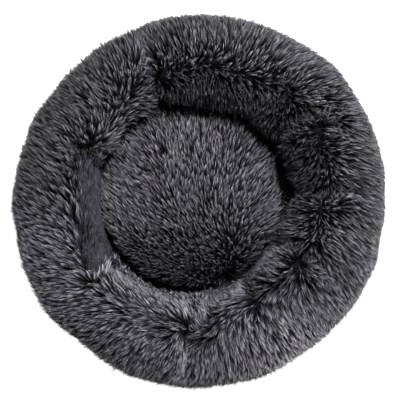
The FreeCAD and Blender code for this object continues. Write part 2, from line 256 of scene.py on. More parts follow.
def ring_grid():
    """Stuffed ring with its folds, as a grid of points, and how deep each fold is there."""
    phi = np.arange(ROUND_STEPS) * 360.0 / ROUND_STEPS
    psi = -180.0 + np.arange(SECTION_STEPS) * 360.0 / SECTION_STEPS
    pp, ss = np.meshgrid(phi, psi, indexing="ij")
    r, z = section(pp, ss)
    a = np.radians(pp)
    points = np.stack([r * np.cos(a), r * np.sin(a), z], -1)
    psi_full = np.where(ss < -120.0, ss + 360.0, ss)
    to_seam(points, psi_full)
    depth = np.zeros_like(r)
    for at, width, deep, start, end in FOLDS:
        gap = np.radians(turn_gap(pp, at)) * r
        bend = 0.006 * np.sin(psi_full * 0.05 + at)
        window = smooth(psi_full, start - 14, start + 10) * (1 - smooth(psi_full, end, end + 25))
        depth = np.maximum(depth, deep * window * np.exp(-((gap + bend) / width) ** 2))
    start, end, radius, width, deep = POCKET
    slant = radius + 0.006 * (turn_gap(pp, start) / (end - start) - 0.5)
    window = smooth(turn_gap(pp, start), -5, 5) * (1 - smooth(turn_gap(pp, end), -5, 5))
    top = smooth(psi_full, 30, 50) * (1 - smooth(psi_full, 130, 150))
    depth = np.maximum(depth, deep * window * top * np.exp(-((r - slant) / width) ** 2))
    for x, y, reach, strength in PUCKERS:
        gap = np.hypot(points[..., 0] - x, points[..., 1] - y)
        deep = PUCKER_DEPTH * max(0.0, strength - PUCKER_FLAT)
        depth = np.maximum(depth, deep * top * np.exp(-(gap / (0.5 * reach)) ** 2))
    normals = grid_normals(points)
    flat = points.reshape(-1, 3)
    uneven = lumps(flat, 0.0022, 0.11, 3).reshape(r.shape) * smooth(z, 0.01, 0.04)
    points = points + normals * (uneven - depth)[..., None]
    points[..., 2] = np.maximum(points[..., 2], FOOT_Z)
    return points, psi_full, depth


def mesh_object(name, verts, faces):
    mesh = bpy.data.meshes.new(name)
    mesh.from_pydata([tuple(v) for v in verts], [], [tuple(f) for f in faces])
    mesh.update()
    for p in mesh.polygons:
        p.use_smooth = True
    made = bpy.data.objects.new(name, mesh)
    bpy.context.scene.collection.objects.link(made)
    return made


SIM_FRAMES = 14
RING_CAP = 0.007
CUSHION_CAP = 0.006
CLOTH = {
    "quality": 4, "mass": 0.25, "tension_stiffness": 12.0, "compression_stiffness": 12.0,
    "shear_stiffness": 4.0, "bending_stiffness": 0.4, "use_pressure": True,
    "uniform_pressure_force": 3.0, "vertex_group_mass": "held",
}


def puff(points, faces, held, cap):
    """Cloth with air inside, run for a few frames; points move at most cap, held ones stay."""
    thing = mesh_object("sim", points, faces)
    thing.vertex_groups.new(name="held").add(np.flatnonzero(held).tolist(), 1.0, "REPLACE")
    cloth = thing.modifiers.new("cloth", "CLOTH").settings
    for key, value in CLOTH.items():
        setattr(cloth, key, value)
    cloth.effector_weights.gravity = 0.0
    scene = bpy.context.scene
    scene.frame_start = 1
    scene.frame_end = SIM_FRAMES
    for frame_number in range(1, SIM_FRAMES + 1):
        scene.frame_set(frame_number)
    shown = thing.evaluated_get(bpy.context.evaluated_depsgraph_get())
    moved = np.empty(len(points) * 3, np.float32)
    shown.data.vertices.foreach_get("co", moved)
    shift = moved.reshape(-1, 3).astype(float) - points
    size = np.linalg.norm(shift, axis=1, keepdims=True)
    shift = shift * np.minimum(1.0, cap / np.maximum(size, 1e-9))
    mesh = thing.data
    bpy.data.objects.remove(thing, do_unlink=True)
    bpy.data.meshes.remove(mesh)
    scene.frame_set(1)
    return points + shift


def grid_faces(rows, cols, row_wrap=True, col_wrap=True):
    faces = []
    for i in range(rows if row_wrap else rows - 1):
        for j in range(cols if col_wrap else cols - 1):
            here = i * cols
            after = (i + 1) % rows * cols
            n = (j + 1) % cols
            faces.append((here + j, after + j, after + n, here + n))
    return faces


def face_normals(points, tris):
    """Normals as long as twice the triangles' areas."""
    a, b, c = (points[tris[:, k]] for k in range(3))
    return np.cross(b - a, c - a)


class Skin:
    """A backing surface that pile grows from: points, triangles, normals and section angle."""

    def __init__(self, points, tris, angle=None):
        self.points = points
        self.tris = tris
        self.angle = np.zeros(len(points)) if angle is None else angle
        total = np.zeros_like(points)
        for k in range(3):
            np.add.at(total, tris[:, k], face_normals(points, tris))
        self.normals = unit(total)

    def scatter(self, per_m2, seed, keep):
        """Seeded roots over the triangles whose middle keep(point, angle) accepts."""
        rng = np.random.default_rng(seed)
        ok = keep(self.points[self.tris].mean(1), self.angle[self.tris].mean(1))
        tris = self.tris[ok]
        area = np.linalg.norm(face_normals(self.points, tris), axis=1) / 2.0
        count = int(area.sum() * per_m2)
        pick = np.sort(rng.choice(len(tris), count, p=area / area.sum()))
        u = rng.random(count)
        v = rng.random(count)
        flip = u + v > 1.0
        u = np.where(flip, 1.0 - u, u)
        v = np.where(flip, 1.0 - v, v)
        w = np.stack([1.0 - u - v, u, v], 1)[..., None]
        chosen = tris[pick]
        roots = (self.points[chosen] * w).sum(1)
        normals = unit((self.normals[chosen] * w).sum(1))
        angle = (self.angle[chosen] * w[..., 0]).sum(1)
        return roots, normals, angle


STATIONS = np.array([0.0, 0.34, 0.70, 1.0])  # shares of a strand's length
THICK = np.array([1.0, 0.86, 0.50])  # and its width at all but the tip
LEAN_SHARES = (0.12, 0.55, 1.0)  # how far each stretch has leaned over
SIDES = 3
RINGS = 3
TIP = SIDES * RINGS
TONES = 32  # columns of the tone map
PER_PIECE = 11500  # strands in one mesh at most
LOWEST_STRAND = 0.002
# the undercoat below is also painted darker, as painted shade under the top coat
UNDER_LIFT = 10.0  # degrees that the undercoat leans further over
UNDER_SHORT = 0.25  # share that it is shorter
UNDER_DARK = 0.32  # and how much darker


def paths(roots, normals, flow, length, lean0, lean1, droop, curl, rng):
    """Centre line of each strand at the stations."""
    count = len(roots)
    side = unit(np.cross(normals, flow))
    out = np.empty((count, 4, 3))
    out[:, 0] = roots
    wave = rng.uniform(-1, 1, count)
    bend = rng.uniform(-1, 1, count)
    for k, share in enumerate(LEAN_SHARES):
        lean = np.radians(lean0 + (lean1 - lean0) * share)
        way = normals * np.cos(lean)[:, None] + flow * np.sin(lean)[:, None]
        way = way + side * (curl * (wave * math.sin(2.4 * k + 0.6) + bend * share))[:, None]
        way[:, 2] -= droop * share
        step = (STATIONS[k + 1] - STATIONS[k]) * length
        out[:, k + 1] = out[:, k] + unit(way) * step[:, None]
    return out


def gather(lines, guides, nearest, pull, tight):
    """Draw each strand towards its lock's guide."""
    lead = guides[nearest]
    spread = lines[:, :1] - lead[:, :1]
    f = STATIONS[None, :, None]
    target = lead + spread * (1.0 - tight[:, None, None] * f)
    weight = pull[:, None, None] * f ** 0.7
    return lines + (target - lines) * weight


def lock_of(roots, guide_roots):
    tree = KDTree(len(guide_roots))
    for i, g in enumerate(guide_roots):
        tree.insert(Vector(g), i)
    tree.balance()
    return np.array([tree.find(Vector(r))[1] for r in roots])


def strand_mesh(name, lines, normals, width, tone, material):
    """Closed three-sided tapering strands as one mesh with a tone/length map."""
    count = len(lines)
    tangent = unit(lines[:, 1:] - lines[:, [0, 0, 1]])
    side = unit(np.cross(tangent, normals[:, None, :] + 0.13))
    up = np.cross(side, tangent)
    verts = np.empty((count, TIP + 1, 3))
    for k in range(RINGS):
        for j in range(SIDES):
            a = 2.0 * math.pi * j / 3.0 + math.pi / 2.0
            reach = (width * THICK[k] / 2.0)[:, None]
            verts[:, SIDES * k + j] = lines[:, k] + reach * (
                math.cos(a) * side[:, k] + 0.8 * math.sin(a) * up[:, k])
    verts[:, TIP] = lines[:, 3]
    faces = []
    spots = []
    rows = (0.03, 0.36, 0.70, 0.98)
    for k in range(RINGS):
        low = SIDES * k
        high = low + SIDES
        for j in range(SIDES):
            n = (j + 1) % SIDES
            if high < TIP:
                faces.append((low + j, high + j, high + n, low + n))
                spots.append(((j, rows[k]), (j, rows[k + 1]),
                              (j + 1, rows[k + 1]), (j + 1, rows[k])))
            else:
                faces.append((low + j, TIP, low + n))
                spots.append(((j, rows[k]), (j + 0.5, rows[k + 1]), (j + 1, rows[k])))
    faces.append((0, 1, 2))
    spots.append(((0, 0.0), (1.5, 0.02), (3, 0.0)))
    flat = np.array([v for f in faces for v in f])
    sizes = np.array([len(f) for f in faces])
    u_in, v_in = np.array([p for s in spots for p in s]).T
    loops = (flat[None, :] + (TIP + 1) * np.arange(count)[:, None]).ravel()
    total = np.tile(sizes, count)
    starts = np.concatenate([[0], np.cumsum(total)[:-1]])
    bins = np.clip((tone * TONES).astype(int), 0, TONES - 1)
    uv = np.empty((count, len(flat), 2))
    uv[..., 0] = (bins[:, None] + 0.04 + 0.92 * (u_in / SIDES)) / TONES
    uv[..., 1] = v_in
    mesh = bpy.data.meshes.new(name)
    mesh.vertices.add(count * (TIP + 1))
    mesh.vertices.foreach_set("co", verts.astype(np.float32).ravel())
    mesh.loops.add(len(loops))
    mesh.loops.foreach_set("vertex_index", loops.astype(np.int32))
    mesh.polygons.add(len(total))
    mesh.polygons.foreach_set("loop_start", starts.astype(np.int32))
    mesh.polygons.foreach_set("use_smooth", np.ones(len(total), bool))
    layer = mesh.uv_layers.new(name="OFBake")
    layer.uv.foreach_set("vector", uv.astype(np.float32).ravel())
    mesh.update(calc_edges=True)
    mesh.materials.append(material)
    made = bpy.data.objects.new(name, mesh)
    bpy.context.scene.collection.objects.link(made)
    return made


def twist(flow, normals, degrees):
    """Turn tangent directions round their normals."""
    a = np.radians(degrees)[:, None]
    side = np.cross(normals, flow)
    return flow * np.cos(a) + side * np.sin(a)


def on_surface(way, normals):
    return unit(way - normals * (way * normals).sum(1, keepdims=True))


def grow(prefix, roots, normals, flow, look, seed, body):
    """Pile in locks over roots; look holds the strand's habits as numbers or arrays."""
    rng = np.random.default_rng(seed)
    count = len(roots)

    def habit(key):
        return np.broadcast_to(np.asarray(look[key], float), (count,))

    drift = lumps(roots, 1.0, look["drift_scale"], seed + 1) * look["drift"]
    flow = twist(flow, normals, drift)
    leaders = rng.permutation(count)[:max(8, int(count / look["per_lock"]))]
    lock_turn = rng.normal(0, look["lock_turn"], len(leaders))
    lock_lift = rng.normal(0, 1, len(leaders)) * habit("lock_lift")[leaders]
    lock_long = rng.normal(1.0, 0.13, len(leaders))
    lock_tone = rng.normal(0, 1, len(leaders))
    lead_flow = twist(flow[leaders], normals[leaders], lock_turn)
    guides = paths(roots[leaders], normals[leaders], lead_flow,
                   habit("length")[leaders] * lock_long,
                   habit("lean0")[leaders] + lock_lift, habit("lean1")[leaders] + lock_lift,
                   habit("droop")[leaders], look["curl"], rng)
    nearest = lock_of(roots, roots[leaders])
    own_flow = twist(flow, normals, lock_turn[nearest] + rng.normal(0, look["turn"], count))
    under = rng.random(count) < habit("under")
    lift = lock_lift[nearest] + rng.normal(0, look["lift"], count) + UNDER_LIFT * under
    length = habit("length") * lock_long[nearest] * rng.normal(1.0, 0.10, count)
    length = length * (1.0 - UNDER_SHORT * under)
    own = paths(roots, normals, own_flow, length, habit("lean0") + lift, habit("lean1") + lift,
                habit("droop"), look["curl"] * 1.2, rng)
    pull = np.clip(habit("pull") + rng.normal(0, 0.10, count), 0.0, 1.0)
    tight = np.clip(habit("tight") + rng.normal(0, 0.08, count), 0.0, 0.97)
    lines = gather(own, guides, nearest, pull, tight)
    lines[..., 2] = np.maximum(lines[..., 2], LOWEST_STRAND)
    tone = habit("shade") + 0.13 * lock_tone[nearest] + rng.normal(0, 0.06, count)
    # painted shade: the undercoat is made darker
    tone = tone - UNDER_DARK * under
    width = habit("width") * rng.uniform(0.75, 1.2, count)
    order = np.argsort(np.arctan2(roots[:, 1] - WELL_AXIS[1], roots[:, 0] - WELL_AXIS[0]))
    for i, part in enumerate(np.array_split(order, math.ceil(count / PER_PIECE))):
        piece = strand_mesh("%s_%02d" % (prefix, i + 1), lines[part], normals[part],
                            width[part], np.clip(tone[part], 0.0, 0.999), look["material"])
        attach(piece, body)


# ---------------------------------------------------------------- materials

def plug(tree, node, sockets):
    """Set a node's sockets, to values or to the outputs that they are linked to."""
    for key, value in sockets.items():
        if isinstance(value, bpy.types.NodeSocket):
            tree.links.new(value, node.inputs[key])
        else:
            node.inputs[key].default_value = value
    return node


def add(tree, kind, sockets):
    return plug(tree, tree.nodes.new("ShaderNode" + kind), sockets)


def shader(name, rough, sheen=0.0, specular=0.5):
    made = bpy.data.materials.new(name)
    made.use_nodes = True
    tree = made.node_tree
    base = plug(tree, tree.nodes["Principled BSDF"], {
        "Roughness": rough, "Specular IOR Level": specular,
        "Sheen Weight": sheen, "Sheen Roughness": 0.45})
    return made, tree, base


def ramp(tree, source, stops):
    made = add(tree, "ValToRGB", {"Fac": source})
    line = made.color_ramp
    while len(line.elements) < len(stops):
        line.elements.new(0.5)
    for element, (at, colour) in zip(line.elements, stops):
        element.position = at
        element.color = (*colour, 1.0)
    return made.outputs["Color"]


def multiply(tree, a, b):
    made = tree.nodes.new("ShaderNodeMix")
    made.data_type = "RGBA"
    made.blend_type = "MULTIPLY"
    plug(tree, made, {"Factor": 1.0, "A": a, "B": b})
    return made.outputs["Result"]


def pile_material(name, root, body, tip, spread, rough, specular):
    """Strand colour from its map: near-black root as painted shade among the strands, lighter tip
    partly the pile's own tone and partly painted highlight, tone by strand.
    """
    made, tree, base = shader(name, rough, 0.0, specular)
    uv = add(tree, "UVMap", {})
    uv.uv_map = "OFBake"
    split = add(tree, "SeparateXYZ", {0: uv.outputs["UV"]})
    # the root stops are painted shade, the tip stops partly painted highlight
    along = ramp(tree, split.outputs["Y"],
                 ((0.0, root), (0.22, root), (0.55, body), (0.85, tip), (1.0, tip)))
    low = 1.0 - spread
    high = 1.0 + 1.6 * spread
    tones = ramp(tree, split.outputs["X"],
                 ((0.0, (low, low, low * 1.02)), (0.5, (1.0, 1.0, 1.0)),
                  (1.0, (high, high, high * 1.01))))
    plug(tree, base, {"Base Color": multiply(tree, along, tones)})
    return made


def place(tree):
    return add(tree, "TexCoord", {}).outputs["Object"]


def mottle(tree, scale, detail):
    return add(tree, "TexNoise", {"Scale": scale, "Detail": detail,
                                  "Vector": place(tree)}).outputs["Fac"]


def relief(tree, base, height, distance):
    bump = add(tree, "Bump", {"Distance": distance, "Strength": 0.7, "Height": height})
    plug(tree, base, {"Normal": bump.outputs["Normal"]})


def matted_material(name, dark, light, scale, rough, sheen, specular):
    """Knitted ground or loose fibre: soft mottling, no relief."""
    made, tree, base = shader(name, rough, sheen, specular)
    shades = ramp(tree, mottle(tree, scale, 2.0), ((0.3, dark), (0.7, light)))
    plug(tree, base, {"Base Color": shades})
    return made


def cloth_material(name, light, dark, threads):
    """Plain-woven cloth: crossing threads with slubs, and their relief."""
    made, tree, base = shader(name, 0.85, 0.25, 0.25)
    weave = add(tree, "Math", {})
    weave.operation = "MAXIMUM"
    for k, axis in enumerate("XY"):
        wave = add(tree, "TexWave", {"Scale": threads, "Distortion": 1.5, "Detail Scale": 2.0,
                                     "Vector": place(tree)})
        wave.bands_direction = axis
        plug(tree, weave, {k: wave.outputs["Fac"]})
    threads_seen = ramp(tree, weave.outputs[0], ((0.2, dark), (0.95, light)))
    slubs = ramp(tree, mottle(tree, threads * 0.12, 6.0),
                 ((0.3, (0.7, 0.7, 0.7)), (0.7, (1.0, 1.0, 1.0))))
    plug(tree, base, {"Base Color": multiply(tree, threads_seen, slubs)})
    relief(tree, base, weave.outputs[0], 0.0003)
    return made


def smooth_material(name, light, dark, scale, rough, metallic=0.0):
    """Cast metal, nylon, thread or rubber: slightly mottled, finely pitted."""
    made, tree, base = shader(name, rough)
    pits = mottle(tree, scale, 8.0)
    shades = ramp(tree, pits, ((0.35, dark), (0.65, light)))
    plug(tree, base, {"Base Color": shades, "Metallic": metallic})
    relief(tree, base, pits, 0.0001)
    return made


LONG_PILE = pile_material("long_pile", (0.0015, 0.0015, 0.002), (0.036, 0.035, 0.041),
                          (0.450, 0.441, 0.475), spread=0.85, rough=0.38, specular=0.35)
BRUSHED = pile_material("brushed_pile", (0.006, 0.006, 0.009), (0.040, 0.037, 0.053),
                        (0.080, 0.074, 0.106), spread=0.5, rough=0.5, specular=0.5)
BACKING = matted_material("backing_knit", (0.006, 0.006, 0.007), (0.014, 0.014, 0.016),
                          420.0, 0.95, 0.0, 0.1)
FIBRE = matted_material("fibre", (0.62, 0.62, 0.60), (0.85, 0.85, 0.84), 60.0, 0.9, 0.3, 0.2)
LINING = cloth_material("lining_cloth", (0.30, 0.30, 0.31), (0.16, 0.16, 0.17), 1400.0)
FLOOR_CLOTH = cloth_material("floor_cloth", (0.045, 0.044, 0.050), (0.014, 0.014, 0.016), 700.0)
BASE_CLOTH = cloth_material("base_cloth", (0.075, 0.074, 0.080), (0.022, 0.022, 0.025), 900.0)
UNDER_CLOTH = cloth_material("under_cloth", (0.070, 0.068, 0.078), (0.025, 0.024, 0.029), 800.0)
TAPE_CLOTH = cloth_material("tape_weave", (0.040, 0.040, 0.043), (0.012, 0.012, 0.013), 1600.0)
BINDING_CLOTH = cloth_material("binding_weave", (0.050, 0.050, 0.054), (0.015, 0.015, 0.017),
                               1500.0)
THREAD = smooth_material("sewing_thread", (0.090, 0.090, 0.095), (0.050, 0.050, 0.054),
                         2000.0, 0.6)
NYLON = smooth_material("zip_nylon", (0.035, 0.035, 0.037), (0.018, 0.018, 0.019), 900.0, 0.35)
RUBBER = smooth_material("grip_rubber", (0.028, 0.028, 0.029), (0.016, 0.016, 0.017), 500.0, 0.55)
METAL = smooth_material("zip_zinc", (0.42, 0.42, 0.43), (0.26, 0.26, 0.27), 700.0, 0.32,
                        metallic=1.0)


def lay(thing, node, material, body="ring"):
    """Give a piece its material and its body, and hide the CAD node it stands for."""
    thing.data.materials.append(material)
    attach(thing, body)
    if node:
        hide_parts(node)
    return thing


def backing(name, skin, faces, node, material, body):
    """The part of a skin that faces cover, as cloth with a thickness."""
    used, inverse = np.unique(faces, return_inverse=True)
    thing = mesh_object(name, skin.points[used], inverse.reshape(faces.shape))
    thick = thing.modifiers.new("thickness", "SOLIDIFY")
    thick.thickness = BACKING_THICK
    thick.offset = -1.0
    lay(thing, node, material, body)


# ---------------------------------------------------------------- the ring

def ring_skin():
    """Backing of the ring after the air has swollen it, and its quads."""
    grid, angle, depth = ring_grid()
    faces = grid_faces(ROUND_STEPS, SECTION_STEPS)
    points = grid.reshape(-1, 3)
    angle = angle.ravel()
    folded = depth.ravel() > FOLDED
    base = points[:, 2] < FOOT_Z + 0.004
    points = puff(points, faces, folded | base | (angle > HELD_FROM), RING_CAP)
    points[:, 2] = np.maximum(points[:, 2], FOOT_Z)
    quads = np.array(faces)
    tris = np.concatenate([quads[:, [0, 1, 2]], quads[:, [0, 2, 3]]])
    return Skin(points, tris, angle), quads


def is_join(points):
    """Inside the sector of the join panel."""
    theta = azimuth(points[:, 0] - WELL_AXIS[0], points[:, 1] - WELL_AXIS[1])
    return np.abs(turn_gap(theta, JOIN_AT)) < JOIN_HALF


def ring_flow(roots, normals, angle, rng):
    """Lie of the pile: one way over the rim, another down the well, bent by folds and puckers."""
    phi = azimuth(roots[:, 0], roots[:, 1])
    radius = np.hypot(roots[:, 0], roots[:, 1])
    over_rim, down_well, parting, half = (by_azimuth(LIE, phi, k) for k in (1, 2, 3, 4))
    parting = parting + 0.004 * lumps(roots, 1.0, 0.03, 77) + rng.normal(0.0, 0.0015, len(roots))
    over = smooth(-(radius - parting) / half, -1.0, 1.0)
    way = heading(np.radians(phi + over_rim + (down_well - over_rim) * over), -0.35 - 0.25 * over)
    around = np.stack([-np.sin(np.radians(phi)), np.cos(np.radians(phi)), np.zeros_like(phi)], 1)
    for at, _, _, start, _ in FOLDS:
        gap = np.radians(turn_gap(phi, at)) * radius
        near = np.exp(-(gap / 0.020) ** 2) * (angle > start - 5.0)
        way = way + around * (np.tanh(gap / 0.006) * near * 0.5)[:, None]
    for x, y, reach, strength in PUCKERS:
        away = np.stack([roots[:, 0] - x, roots[:, 1] - y, np.zeros(len(roots))], 1)
        far = np.linalg.norm(away, axis=1)
        pull = strength * np.exp(-(far / reach) ** 2)
        way = way + away / np.maximum(far, 1e-6)[:, None] * pull[:, None]
    return on_surface(way, normals)


def ring_look(roots, angles):
    """Habits of the ring's pile, strand by strand."""
    phi = azimuth(roots[:, 0], roots[:, 1])
    parting = by_azimuth(LIE, phi, 3)
    inward = (parting - np.hypot(roots[:, 0], roots[:, 1])) / PARTING_SCALE
    loose = facing(phi, *LOOSE_SIDE)
    at, full, gone = SOFT_WALL
    # upright tufts along the parting, soft pile down the wall, short pile at its foot
    crest = loose * smooth(inward, -2.6, -0.4) * (1.0 - smooth(inward, 1.6, 3.4))
    wall = smooth(np.abs(turn_gap(phi, at)), full, gone) * smooth(inward, 1.2, 3.0)
    foot = smooth(angles, 145.0, 172.0)
    # fine pile low on the outside, long flat pile on the sleek side, where the pile is also
    # painted lighter as painted light
    rim = smooth(-angles, -62.0, -24.0)
    sleek_lit = facing(phi, *SLEEK_LIT_SIDE) * (1.0 - rim)
    # painted shade: darker pile towards +Y, low on the outside towards -X -Y, and down the well's
    # wall on the +X +Y side; also darker pile round DIM_AT
    painted_shade = facing(phi, *PAINTED_SHADE_SIDE)
    hem = facing(phi, *LOW_SHADE_SIDE)
    hollow_shade = facing(phi, *HOLLOW_SHADE_SIDE) * smooth(inward, -1.0, 1.0)
    dim = np.exp(-(turn_gap(phi, DIM_AT) / DIM_WIDTH) ** 2)
    return {
        "length": 0.030 - 0.006 * crest - 0.012 * rim - 0.013 * foot - 0.005 * wall,
        "lean0": 45.0 - 29.0 * crest - 19.0 * wall + 6.0 * rim + 13.0 * sleek_lit,
        "lean1": 79.0 - 37.0 * crest - 35.0 * wall + 6.0 * rim + 6.0 * sleek_lit,
        "droop": 0.15, "curl": 0.10, "turn": 3.0, "lift": 3.0, "drift": 7.0,
        # shade: painted light on the sleek side, painted shade on the three darker sides
        "shade": (0.49 + 0.25 * sleek_lit - 0.13 * painted_shade - 0.22 * hem * rim - 0.22 * hollow_shade
                  - 0.12 * dim),
        "drift_scale": 0.09, "per_lock": 2.6, "lock_turn": 7.0,
        "lock_lift": 9.0 - 5.0 * rim + 7.0 * crest - 3.0 * sleek_lit,
        "pull": 0.92 - 0.6 * rim, "tight": 0.94 - 0.6 * rim,
        "width": 0.00128 - 0.00035 * rim,
        "under": 0.28 + 0.20 * loose * (1.0 - rim) - 0.20 * sleek_lit,
        "material": LONG_PILE,
    }


def make_ring():
    skin, quads = ring_skin()
    angle = skin.angle[quads].mean(1)
    join = is_join(skin.points[quads].mean(1))
    outside = (angle > BASE_SEAM) & (angle < CREST)
    inside = (angle >= CREST) & (angle < WELL_SEAM)
    for name, node, chosen, slot in (
            ("ring_outer_backing", "bolster_outer_cover", outside, "long_pile"),
            ("ring_inner_backing", "bolster_inner_cover", inside & ~join, "long_pile"),
            ("join_panel_backing", "inner_wall_join_panel", inside & join, "brushed_pile")):
        backing(name, skin, quads[chosen], node, BACKING, "ring")
    for name, node, depth, slot, material in (
            ("ring_lining", "bolster_liner", 0.0030, "lining", LINING),
            ("ring_filling", "bolster_fill", 0.0045, "fibre_fill", FIBRE)):
        thing = mesh_object(name, skin.points - skin.normals * depth, quads)
        lay(thing, node, material)
    for prefix, scatter_seed, seed, keep in (
            ("ring_outer_pile", 11, 21, lambda p, a: (a > PILE_FOOT) & (a < CREST)),
            ("ring_inner_pile", 12, 31, lambda p, a: (a >= CREST) & (
                (a < CREST_FRINGE) | (a < PILE_END) & ~is_join(p)))):
        roots, normals, angles = skin.scatter(PILE_PER_M2, scatter_seed, keep)
        flow = ring_flow(roots, normals, angles, np.random.default_rng(seed + 5))
        grow(prefix, roots, normals, flow, ring_look(roots, angles), seed, "ring")
    make_join_pile(skin)


def make_join_pile(skin):
    """Short pile of the join panel, brushed flat along the wall."""
    roots, normals, _ = skin.scatter(
        JOIN_PILE_PER_M2, 13, lambda p, a: (a >= JOIN_TOP) & (a < PILE_END) & is_join(p))
    flow = on_surface(np.tile(JOIN_WAY, (len(roots), 1)), normals)
    look = {
        "length": 0.017, "lean0": 62.0, "lean1": 93.0, "droop": 0.05, "curl": 0.08,
        "shade": 0.54, "drift": 8.0, "drift_scale": 0.05, "per_lock": 10, "lock_turn": 5.0,
        "lock_lift": 3.0, "turn": 5.0, "lift": 4.0, "pull": 0.4, "tight": 0.4,
        "width": 0.0013, "under": 0.3, "material": BRUSHED,
    }
    grow("join_panel_pile", roots, normals, flow, look, 41, "ring")


# ---------------------------------------------------------------- the cushion

CUSHION_LOW, CUSHION_HIGH = corners("cushion_top_cover")
UNDER_LOW = corners("cushion_bottom_cover")[0]
CUSHION_AXIS = (CUSHION_LOW + CUSHION_HIGH)[:2] / 2.0
CUSHION_RADIUS = (CUSHION_HIGH[0] - CUSHION_LOW[0]) / 2.0 - PILE
SEAM_Z = CUSHION_LOW[2]
TOP_FULLNESS = 0.78  # lower is boxier
FAR_FULLNESS = 0.38  # taken off it towards +Y
UNDER_FULLNESS = 0.60
NEAR_SAG = 0.42  # share of the rise lost towards -Y


def ball(steps):
    """Even triangle mesh of a unit ball."""
    work = bmesh.new()
    bmesh.ops.create_icosphere(work, subdivisions=steps, radius=1.0)
    verts = np.array([v.co[:] for v in work.verts])
    faces = [tuple(v.index for v in f.verts) for f in work.faces]
    work.free()
    return unit(verts), faces


def cushion_skin():
    """Backing of the cushion after the air has swollen it."""
    way, faces = ball(6)
    flat = np.hypot(way[:, 0], way[:, 1])
    up = way[:, 2]
    top = up >= 0.0
    far = smooth(way[:, 1], 0.1, 0.9)
    power = np.where(top, TOP_FULLNESS - FAR_FULLNESS * far, UNDER_FULLNESS)
    rise = np.where(top, CUSHION_HIGH[2] - PILE - SEAM_Z, SEAM_Z - UNDER_LOW[2] - 0.001)
    # drawn in at the near, +X and -X sides, fuller at the far side and its -X corner
    r = CUSHION_RADIUS * flat ** power * (1.0 - 0.080 * smooth(-way[:, 1], 0.15, 0.95))
    corner = smooth(-0.6 * way[:, 0] + 0.8 * way[:, 1], 0.5, 1.0)
    r = r * (1.0 - 0.055 * smooth(way[:, 0], 0.5, 0.95)) * (1.0 + 0.065 * far + 0.035 * corner)
    r = r * (1.0 - 0.045 * smooth(-way[:, 0], 0.5, 0.95))
    sag = 1.0 - NEAR_SAG * smooth(-way[:, 1], 0.10, 0.95) * top
    z = SEAM_Z + rise * sag * np.sign(up) * np.abs(up) ** power
    a = np.arctan2(way[:, 1], way[:, 0])
    points = np.stack([CUSHION_AXIS[0] + r * np.cos(a), CUSHION_AXIS[1] + r * np.sin(a), z], 1)
    points[:, 2] += lumps(points, 0.0025, 0.09, 5) * smooth(z, SEAM_Z, SEAM_Z + 0.02)
    held = (z < UNDER_LOW[2] + 0.004) | (np.abs(z - SEAM_Z) < 0.002)
    points = puff(points, faces, held, CUSHION_CAP)
    points[:, 2] = np.maximum(points[:, 2], UNDER_LOW[2] + 0.0003)
    return Skin(points, np.array(faces))


def cushion_flow(roots, normals):
    """Lie of the cushion's pile: a fan, swept over to one side at its low edge."""
    x = roots[:, 0] - CUSHION_AXIS[0]
    y = roots[:, 1] - CUSHION_AXIS[1]
    low = smooth(-y, -0.01, 0.07)
    turned = -40.0 * smooth(-x, -0.005, 0.065) + 42.0 * smooth(x, 0.045, 0.115)
    turned = turned + (-36.0 + 92.0 * smooth(x, 0.035, 0.115) - turned) * low
    return on_surface(heading(np.radians(90.0 - turned), -0.15), normals)


def make_cushion():
    skin = cushion_skin()
    top = skin.points[skin.tris].mean(1)[:, 2] > SEAM_Z
    for name, node, chosen, slot, material in (
            ("cushion_top_backing", "cushion_top_cover", top, "long_pile", BACKING),
            ("cushion_under", "cushion_bottom_cover", ~top, "cushion_under", UNDER_CLOTH)):
        backing(name, skin, skin.tris[chosen], node, material, "cushion")
    filling = mesh_object("cushion_filling", skin.points - skin.normals * 0.004, skin.tris)
    lay(filling, "cushion_fill", FIBRE, "cushion")
    roots, normals, _ = skin.scatter(PILE_PER_M2 * CUSHION_DENSER, 14,
                                     lambda p, a: p[:, 2] > SEAM_Z - 0.002)
    y = roots[:, 1] - CUSHION_AXIS[1]
    # near: shorter, flatter, finer pile towards -Y, also painted darker there as painted shade;
    # lit: pile painted lighter towards +Y and -X, as painted light
    near = smooth(-y, 0.02, 0.11)
    lit = smooth(y - 0.8 * (roots[:, 0] - CUSHION_AXIS[0]), -0.02, 0.12)
    look = {
        "length": 0.026 - 0.007 * near, "lean0": 48.0 - 12.0 * near, "lean1": 79.0 - 13.0 * near,
        "shade": 0.48 + 0.14 * lit - 0.24 * near, "droop": 0.10, "curl": 0.10,
        "drift": 9.0, "drift_scale": 0.07, "per_lock": 2.8, "lock_turn": 8.0,
        "lock_lift": 7.0 + 5.0 * near, "turn": 3.0, "lift": 3.0, "pull": 0.90, "tight": 0.92,
        "width": 0.00105 - 0.0002 * near, "under": 0.30, "material": LONG_PILE,
    }
    flow = cushion_flow(roots, normals)
    grow("cushion_pile", roots, normals, flow, look, 51, "cushion")


# ---------------------------------------------------------------- base and zip

HALVES = ((-1.0, "front"), (1.0, "rear"))
ZIP_ROOM = 0.0056  # wadding stands off this far over the zip
ZIP_LOW, ZIP_HIGH = corners("zip_tape_rear")
HEM_Y = 0.0125  # hem stitches beside the opening
HEM_SPACING = 0.0036
GRIP_SPACING = 0.013
GRIP_ROW = GRIP_SPACING * 0.866  # rows of a triangular pattern
GRIP_MARGIN = 0.014
GRIP_SIDES = 8
GRIP_DOME = ((0.0019, 0.0009), (0.0016, 0.0003))
GRIP_TIP = 0.0001
BINDING_WIDTH = 0.0052
BINDING_SIDES = 16
COIL_PITCH = 0.0020
COIL_STEPS = 12
COIL_WIRE = 0.00030
WIRE_SIDES = 6


